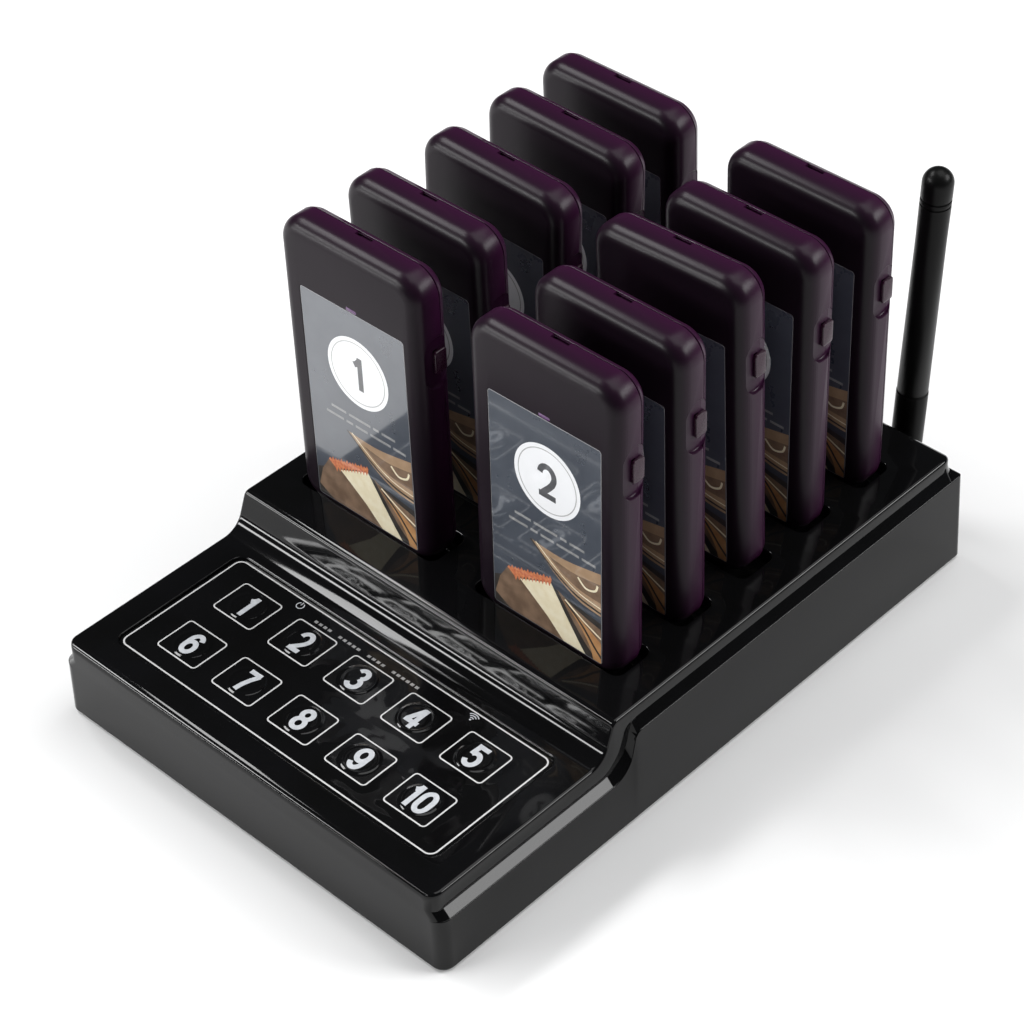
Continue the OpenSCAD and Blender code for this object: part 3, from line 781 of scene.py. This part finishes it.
def case_profile(front, seam, edge, wall, trim):
    """Rings from the flat face round the edge to the seam, then back inside."""
    sign = 1 if front < seam else -1
    rings = []
    for a in range(0, 91, 9):
        t = math.radians(a)
        y = front + sign * edge * (1 - math.cos(t))
        if sign * (seam - y) > 0.3:
            rings.append(case_ring(y, edge * (1 - math.sin(t)), trim))
    rings.append(case_ring(seam - sign * 0.30, 0.0, trim))
    rings.append(case_ring(seam - sign * 0.22, 0.03, trim))
    rings.append(case_ring(seam - sign * 0.16, 0.12, trim))
    rings.append(case_ring(seam - sign * 0.15, 0.60, trim))
    rings.append(case_ring(seam, 0.62, trim))
    rings.append(case_ring(seam, wall))
    inner_edge = edge - wall
    for a in range(90, -1, -15):
        t = math.radians(a)
        y = front + sign * (wall + inner_edge * (1 - math.cos(t)))
        if sign * (seam - y) > 0.3:
            rings.append(case_ring(y, wall + inner_edge * (1 - math.sin(t))))
    return rings


def scoop_cutter():
    """Oval dish in the right side round the switch."""
    rings = []
    for depth, shrink in ((1.2, 0.6), (1.16, 0.3), (0.95, 0.08), (0.5, 0.0), (0.14, -0.05), (0.0, -0.25),
                          (-0.6, -1.0)):
        x = PAGER_W / 2 - depth
        rings.append([(x, y, z) for y, z in rounded(SCOOP_W - 2 * shrink, SCOOP_H - 2 * shrink,
                                                    SCOOP_END_R - shrink, 12, SCOOP_Y, SCOOP_Z)])
    return loft(rings)


def box(x0, x1, y0, y1, z0, z1, r=0.0):
    """A block between two corners; r rounds its upright edges."""
    if r:
        return loft([[(x, y, z) for x, y in rounded(x1 - x0, y1 - y0, r, 4, (x0 + x1) / 2, (y0 + y1) / 2)]
                     for z in (z0, z1)])
    verts = [(x, y, z) for z in (z0, z1) for x, y in ((x0, y0), (x1, y0), (x1, y1), (x0, y1))]
    return verts, [(3, 2, 1, 0), (4, 5, 6, 7), (0, 1, 5, 4), (1, 2, 6, 5), (2, 3, 7, 6), (3, 0, 4, 7)]


def on_face(points, y):
    """Outline in the label's plane (x across, z up) as 3-D points at depth y."""
    return [(x, y, z) for x, z in points]


def stood_up(flat, y):
    """Stands a flat solid up against the label's plane: its height z becomes depth in front of y."""
    verts, faces = flat
    return [(px, y - pz, py) for px, py, pz in verts], faces


def build_front_case():
    """Front moulding: label recess, slot in the seam at the top, openings for the pins and the switch."""
    case = make_object("front_case", *loft(case_profile(FACE, SEAM_Y, EDGE_R, WALL, 0.0)), CASE)
    label = rounded(LABEL_W, LABEL_H, 1.2, 5, LABEL_X, LABEL_Z + LABEL_H / 2)
    recess = loft([on_face(label, FACE + 0.4), on_face(label, FACE - 1)])
    boolean(case, make_object("cut_label", *recess, None))
    cuts = [box(-3.25, 3.25, 1.1, SEAM_Y + 1, PAGER_H - 1.5, PAGER_H + 1),
            box(-7, 7, -3.2, 1.2, -1, WALL + 1, 0.5),
            box(PAGER_W / 2 - 3, PAGER_W / 2 - 1, 0.1, 1.7, 73.0, 78.9)]
    boolean(case, make_object("cut_openings", *join_parts(cuts), None))
    boolean(case, make_object("cut_scoop", *scoop_cutter(), None))
    return case


def build_rear_case():
    """Rear moulding, a little smaller than the front so that the seam shows as a step."""
    case = make_object("rear_case", *loft(
        case_profile(-FACE, SEAM_Y + 0.06, EDGE_R, WALL, 0.22)), CASE_REAR)
    boolean(case, make_object("cut_scoop", *scoop_cutter(), None))
    return case


def build_switch():
    """Sliding knob with a chamfered rim."""
    y0, y1, z0, z1 = -0.3, 4.7, 70.6, 78.8
    outer = PAGER_W / 2
    foot = outer - 1.1
    rings = []
    for x, shrink in ((foot, 0.35), (foot + 0.1, 0.25), (outer - 0.35, 0.25), (outer - 0.12, 0.36),
                      (outer - 0.02, 0.62)):
        rings.append([(x, y, z) for y, z in rounded(y1 - y0 - 2 * shrink, z1 - z0 - 2 * shrink, 0.7, 5,
                                                    (y0 + y1) / 2, (z0 + z1) / 2)])
    knob = make_object("switch", *loft(rings), SWITCH)
    stem = make_object("stem", *box(foot - 2.1, foot + 0.2, 0.3, 1.5, 73.2, 76.2), None)
    boolean(knob, stem, "UNION", crease=25)
    keep = make_object("keep", *loft([[(x, y, z) for y, z in rounded(
        SCOOP_W - 0.2, SCOOP_H - 0.2, SCOOP_END_R - 0.1, 12, SCOOP_Y, SCOOP_Z)]
        for x in (outer - 4, outer + 1)]), None)
    boolean(knob, keep, "INTERSECT", crease=25)
    return knob


def build_label_pane():
    """The label's pane, in the colour of the dark print behind it."""
    w, h = LABEL_W - 0.7, LABEL_H - 0.7
    cz = LABEL_Z + LABEL_H / 2
    rings = [on_face(rounded(w, h, 0.9, 6, LABEL_X, cz), FACE + y) for y in (0.39, 0.08)]
    return make_object("label_pane", *loft(rings), LABEL_GLASS)


def build_pane_rim():
    """Edge ring of the pane in light grey: a painted highlight along the pane's edge."""
    cz, w, h = LABEL_Z + LABEL_H / 2, LABEL_W - 0.3, LABEL_H - 0.3
    rings = [on_face(rounded(w - d, h - d, 1.1 - d / 2, 6, LABEL_X, cz), FACE + y)
             for d, y in ((0, 0.39), (0, 0.16), (0.1, 0.09), (0.38, 0.06), (0.4, 0.39), (0, 0.39))]
    return make_object("label_pane_rim_highlight", *loft(rings, cap=False), PANE_RIM_HIGHLIGHT)


def clip(poly, inside, cross):
    """The part of an outline on the inside of one line."""
    out = []
    for i, p in enumerate(poly):
        q = poly[(i + 1) % len(poly)]
        if inside(p):
            out.append(p)
        if inside(p) != inside(q):
            out.append(cross(p, q))
    return out


def clip_to_label(points, margin=0.5):
    """Trims a picture shape to the pane."""
    x0, x1 = LABEL_X - LABEL_W / 2 + margin, LABEL_X + LABEL_W / 2 - margin
    z0, z1 = LABEL_Z + margin, LABEL_Z + LABEL_H - margin
    for axis, value, sign in ((0, x0, 1), (0, x1, -1), (1, z0, 1), (1, z1, -1)):
        def inside(p):
            return sign * (p[axis] - value) >= 0

        def cross(p, q):
            t = (value - p[axis]) / (q[axis] - p[axis])
            return (p[0] + t * (q[0] - p[0]), p[1] + t * (q[1] - p[1]))
        points = clip(points, inside, cross)
    return points


def build_picture():
    """Generic still life: a slice on a plate beside a pot, as layers of flat ink."""
    layers = []

    def layer(points, material):
        points = clip_to_label(points)
        if len(points) > 2:
            layers.append((points, material))

    def curve(points, steps=10):
        """Smooth line through points, for the rounded shapes."""
        out = []
        for i in range(len(points) - 1):
            p0, p1 = points[max(i - 1, 0)], points[i]
            p2, p3 = points[i + 1], points[min(i + 2, len(points) - 1)]
            for k in range(steps):
                t = k / steps
                out.append(tuple(0.5 * (2 * b + (c - a) * t + (2 * a - 5 * b + 4 * c - d) * t * t
                                        + (3 * b - a - 3 * c + d) * t ** 3)
                                 for a, b, c, d in zip(p0, p1, p2, p3)))
        return out + [points[-1]]

    def stroke_of(points, width):
        flat = ribbon(curve(points), width)[0]
        half = len(flat) // 2
        return flat[:half] + list(reversed(flat[half:]))

    layer(curve([(-30, 10), (-16, 17), (-4, 24), (10, 22), (24, 20)]) + [(24, 3), (-30, 3)], PICTURE_GROUND)
    layer(curve([(-5, 37), (8, 36.5), (24, 39.5)])
          + curve([(24, 23), (14, 24), (5, 28.5), (-5, 37)]), TAN)
    layer(curve([(2, 34.5), (12, 33.5), (24, 35.5)])
          + curve([(24, 28), (14, 28.5), (7, 31), (2, 34.5)]), DEEP_TAN)
    layer(stroke_of([(-5, 37), (4, 30), (13, 25.5), (24, 24)], 0.7), PICTURE_GROUND)
    layer(stroke_of([(-3, 37), (6, 30.5), (14, 27), (24, 25.8)], 0.35), CREAM)
    layer(stroke_of([(13, 33), (16, 30.5), (19.5, 31.5), (20.5, 34)], 0.7), CREAM)
    layer(curve([(5, 23.5), (13, 20), (24, 17.5)]) + curve([(24, 3), (17, 8), (11, 15), (5, 23.5)]), DEEP_TAN)
    layer(curve([(7, 21), (13, 15.5), (17.5, 9), (19, 3)]) + [(24, 3)]
          + curve([(24, 11), (18, 15), (7, 21)]), AMBER_TAN)
    layer(stroke_of([(8, 21), (14.5, 15.5), (19.5, 9.5), (24, 5)], 0.8), PICTURE_GROUND)
    layer(stroke_of([(8, 21.5), (15, 17.5), (24, 13.5)], 0.6), CREAM)
    layer([(-14.5, 20.5), (-17.5, 15.5), (-19.5, 8.5), (-14, 5.2), (-6.5, 3.8), (3.5, 3.8), (8.5, 4.4),
           (1.0, 12.0), (-6.0, 19.5)], DEEP_TAN)
    layer([(-9.5, 19.0), (2.6, 24.6), (8.0, 16.0), (13.0, 8.5), (16.4, 4.0), (8.2, 4.0), (1.0, 11.0)], CREAM)
    rough_top = [(-14.4 + 0.62 * i, 21.0 + 0.19 * i + (0.8 if i % 2 else -0.2) * (1 + 0.4 * math.sin(5 * i)))
                 for i in range(29)]
    rough_low = [(3.4 - 0.66 * i, 24.2 - 0.27 * i + (0.9 if i % 2 else -0.9) * (1 + 0.5 * math.sin(3 * i)))
                 for i in range(1, 24)]
    layer(rough_top + rough_low, AMBER)
    return [(loft([on_face(points, INK_BED), on_face(points, FACE + 0.078 - 0.004 * k)]), material)
            for k, (points, material) in enumerate(layers)]


def build_label_art():
    """Disc, ring, picture layers and plain bars where small print would be; one piece each."""
    art = []

    def piece(name, parts, material):
        art.append(make_object(name, *join_parts(parts), material))

    disc = ellipse(DISC_X, DISC_Z, DISC_R, DISC_R, 0, 354.375, 63)
    piece("label_disc", [loft([on_face(disc, INK_BED), on_face(disc, FACE + 0.06)])], DISC_WHITE)
    ring = strip_solid(ellipse(DISC_X, DISC_Z, 10.9, 10.9, 0, 354.375, 63), 0.35, 0, 0.01, True)
    piece("label_disc_ring", [stood_up(ring, FACE + 0.0595)], DISC_GREY)
    bars = []
    for z, x, lengths in ((43.7, -10.9, (6.2, 9.0, 2.4, 5.6)), (40.6, -13.2, (7.2, 2.8, 5.0, 8.4, 5.2))):
        for length in lengths:
            bars.append(stood_up(strip_solid([(x, z), (x + length, z)], 0.9, 0, 0.012), FACE + 0.076))
            x += length + 1.1
    piece("label_print_bars", bars, GREEK)
    for k, (shape, material) in enumerate(build_picture()):
        piece(f"label_picture_{k + 1}", [shape], material)
    return art


def pager_pose(n):
    """Rest place of pager n: the lift axis gives its lean and the case gives its foot."""
    up = Vector(joint(f"pager_{n}_lift")["axis"]).normalized()
    turn = Matrix.Rotation(math.atan2(up.x, up.z), 3, "Y") @ Matrix.Rotation(-math.asin(up.y), 3, "X")
    spots = [turn.transposed() @ v.co for part in ("front_case", "rear_case")
             for v in frame["nodes"][f"pager_{n}_{part}"].data.vertices]
    low = Vector([min(p[i] for p in spots) for i in range(3)])
    high = Vector([max(p[i] for p in spots) for i in range(3)])
    foot = turn @ Vector(((low.x + high.x) / 2, (low.y + high.y) / 2, low.z))
    return Matrix.Translation(foot) @ turn.to_4x4()


def build_pagers():
    """Ten pagers that share their meshes; only the number on the disc is each one's own."""
    front, rear, switch, pane = build_front_case(), build_rear_case(), build_switch(), build_label_pane()
    rim = build_pane_rim()
    lens = make_object("status_lens", *loft([
        on_face(rounded(w, 1.2, 0.5, 5, 1.3, 84.3), FACE + y)
        for w, y in ((4.2, 0.3), (4.2, -0.02), (3.9, -0.05))]), LED)
    art = build_label_art()
    plain = [(front, "front_case_moulding", "pager_case", "front_case"),
             (rear, "rear_case_moulding", "pager_case", "rear_case"),
             (pane, "label_pane", None, None), (rim, "label_pane_rim_highlight", None, None),
             (lens, "status_lens", None, None)]
    plain += [(obj, obj.name, None, None) for obj in art]
    for n in PAGERS:
        pose = pager_pose(n)
        numeral = number_parts(str(n), DISC_X, DISC_Z, 12.4, 7.3, 2.0, 0, INK, 0.8)
        number = make_object(f"pager_{n}_number", *join_parts(
            [stood_up(part, FACE + 0.058) for part in numeral]), NUMBER_GREY)
        number.matrix_world = pose
        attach(number, f"pager_{n}")
        for source, name, slot, node in plain:
            obj = in_scene(f"pager_{n}_{name}", source.data)
            obj.matrix_world = pose
            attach(obj, f"pager_{n}")
            if node:
                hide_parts(f"pager_{n}_{node}")
        knob = in_scene(f"pager_{n}_switch_knob", switch.data)
        knob.matrix_world = pose
        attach(knob, f"pager_{n}_power_switch")
        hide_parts(f"pager_{n}_switch")
    for obj in [front, rear, switch, pane, rim, lens] + art:
        bpy.data.objects.remove(obj)


# ---------------------------------------------------------------- aerial

def lathe(profile, steps=48):
    """Turns (radius, height) points about the z axis into a closed solid."""
    return loft([[(x, y, z) for x, y in circle(max(r, 0.01), steps)] for r, z in profile])


def build_aerial():
    """Whip with a forked sleeve, knuckle with its tongue, and the fold pin, all round the fold's axis."""
    hinge = joint("antenna_fold")
    fold = Vector(hinge["pos_m"])
    lean = math.atan2(hinge["axis"][2], -hinge["axis"][0])
    pose = Matrix.Translation(fold) @ Matrix.Rotation(lean, 4, "Y")
    profile = [(5.1, -5.2), (5.1, 22.9), (5.02, 23.3), (4.8, 23.5), (4.8, 23.8), (4.95, 24.0), (4.75, 82.6),
               (4.85, 94.0), (4.82, 94.9), (4.5, 95.0), (4.5, 95.5), (4.8, 95.6), (4.85, 95.8), (4.85, 96.6),
               (4.8, 96.8), (4.5, 96.9), (4.5, 97.4), (4.8, 97.5), (4.85, 97.7)]
    profile += [(4.85 * math.cos(math.radians(a)), 102.55 + 4.85 * math.sin(math.radians(a)))
                for a in range(0, 91, 6)]
    whip = make_object("aerial_whip", *lathe(profile), RUBBER, crease=40)
    trim = make_object("trim", *box(-8, 8, -8, 8, -8, 0), None)
    boolean(trim, make_object("barrel", *loft([round_x(x, 5, 64) for x in (-9, 9)]), None))
    boolean(whip, trim, crease=40)
    boolean(whip, make_object("fork", *box(-2.3, 2.3, -8, 8, -7, 5), None), crease=40)
    boolean(whip, make_object("bore", *loft([round_x(x, 1.55, 32) for x in (-8, 8)]), None), crease=40)
    whip.matrix_world = pose
    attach(whip, "antenna")
    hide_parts("antenna_whip")

    reach = fold.y / MM - (REAR - 0.3)
    collar = [round_y(y - reach, r, 48) for r, y in ((4.6, 0), (4.8, 0.2), (4.8, 0.8), (4.6, 1.0))]
    knuckle = make_object("aerial_knuckle", *loft(collar), KNUCKLE, crease=35)
    tongue = []
    for x, r in ((-2.0, 4.3), (-1.85, 4.52), (-1.6, 4.6), (1.6, 4.6), (1.85, 4.52), (2.0, 4.3)):
        ring = [(x, r * math.sin(math.radians(a)), r * math.cos(math.radians(a))) for a in range(0, 181, 6)]
        ring += [(x, 0.8 - reach, -r), (x, 0.8 - reach, r)]
        tongue.append(ring)
    boolean(knuckle, make_object("tongue", *loft(tongue), None), "UNION", crease=35)
    socket = [round_y(y - reach, 3.1, 40) for y in (-1, 0.8)]
    boolean(knuckle, make_object("socket", *loft(socket), None), crease=35)
    boolean(knuckle, make_object("pin_hole", *loft([round_x(x, 1.5, 32) for x in (-8, 8)]), None), crease=35)
    knuckle.matrix_world = pose
    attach(knuckle, "antenna_swivel")
    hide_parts("antenna_knuckle")
    pin = make_object("aerial_pin", *loft(
        [round_x(x, r, 32) for x, r in ((-4.6, 1.2), (-4.4, 1.49), (4.4, 1.49), (4.6, 1.2))]), PIN_STEEL)
    pin.matrix_world = pose
    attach(pin, "antenna_swivel")


# ---------------------------------------------------------------- frame parts that stay

def finish_frame_parts():
    """Materials for the CAD parts that stay; the board's power jack, at the rear, is black."""
    looks = {"bottom_plate": UNDER_BLACK, "rubber_feet": FOOT_RUBBER, "base_screws": PIN_STEEL,
             "main_board": BOARD, "charge_contacts": GOLD, "antenna_socket": GOLD}
    looks.update({f"pager_{n}_electronics": BOARD for n in PAGERS})
    for node, material in looks.items():
        obj = frame["nodes"][node]
        obj.data.materials.clear()
        obj.data.materials.append(material)
        has_jack = node == "main_board"
        if has_jack:
            obj.data.materials.append(UNDER_BLACK)
        for poly in obj.data.polygons:
            poly.material_index = int(has_jack and poly.center.y / MM > REAR - JACK_ZONE)


build_base()
build_film()
for number in KEYS:
    build_key(number)
build_print()
build_pagers()
build_aerial()
finish_frame_parts()

# ---------------------------------------------------------------- camera, floor and light

CAMERA_AT = Vector((463.2, -485.3, 618.7)) * MM
CAMERA_AZIMUTH = 44.29
CAMERA_ELEVATION = 40.57
CAMERA_ROLL = -1.62
CAMERA_LENS = 103.1
FLOOR_HALF = 4000


def direction(azimuth, elevation):
    """Unit vector from the set. Azimuth 0 is the front, 90 the right side; both in degrees."""
    az, el = math.radians(azimuth), math.radians(elevation)
    return Vector((math.sin(az) * math.cos(el), -math.cos(az) * math.cos(el), math.sin(el)))


def place_camera():
    back = direction(CAMERA_AZIMUTH, CAMERA_ELEVATION)
    right = Vector((0, 0, 1)).cross(back).normalized()
    up = back.cross(right)
    turn = Matrix((right, up, back)).transposed() @ Matrix.Rotation(math.radians(CAMERA_ROLL), 3, "Z")
    data = bpy.data.cameras.new("camera")
    data.lens = CAMERA_LENS
    data.sensor_width = 36
    cam = in_scene("camera", data)
    cam.matrix_world = Matrix.Translation(CAMERA_AT) @ turn.to_4x4()
    bpy.context.scene.camera = cam


def softbox(name, azimuth, elevation, distance, width, height, power):
    """A soft area light that points at the set; sizes in metres, power in watts."""
    away = direction(azimuth, elevation)
    data = bpy.data.lights.new(name, "AREA")
    data.shape = "RECTANGLE"
    data.size, data.size_y = width, height
    data.energy = power
    lamp = in_scene(name, data)
    turn = away.to_track_quat("Z", "Y").to_matrix().to_4x4()
    lamp.matrix_world = Matrix.Translation(away * distance) @ turn


def build_studio():
    """Pale floor, a faint sky and five soft lights."""
    mat, tree, bsdf = nodes_of("pale_floor")
    blotch = object_noise(tree, 3.0, 3.0)
    shade = ramp(tree, blotch.outputs["Fac"], 0.2, 0.8, grey(0.90), grey(0.93))
    tree.links.new(shade.outputs["Color"], bsdf.inputs["Base Color"])
    bsdf.inputs["Roughness"].default_value = 0.7
    bsdf.inputs["Specular IOR Level"].default_value = 0.1
    corners = [(x * FLOOR_HALF, y * FLOOR_HALF, 0) for x, y in ((-1, -1), (1, -1), (1, 1), (-1, 1))]
    floor = make_object("studio_floor", corners, [(0, 1, 2, 3)], mat)
    world = bpy.data.worlds.new("studio_dark")
    bpy.context.scene.world = world
    world.use_nodes = True
    sky = world.node_tree.nodes["Background"]
    sky.inputs["Color"].default_value = (0.9, 0.95, 1.0, 1)
    sky.inputs["Strength"].default_value = 0.05
    softbox("top_soft", 160, 70, 1.7, 1.3, 1.2, 13)
    softbox("front_left", -36, 27, 1.6, 1.1, 0.15, 14)
    softbox("front_left_low", -40, 9, 1.6, 0.9, 0.11, 8)
    softbox("left_high", -80, 54, 1.6, 0.8, 0.24, 12)
    softbox("back_right", 132, 34, 1.7, 0.9, 0.5, 16)


place_camera()
build_studio()
bpy.context.scene.view_settings.view_transform = "Standard"
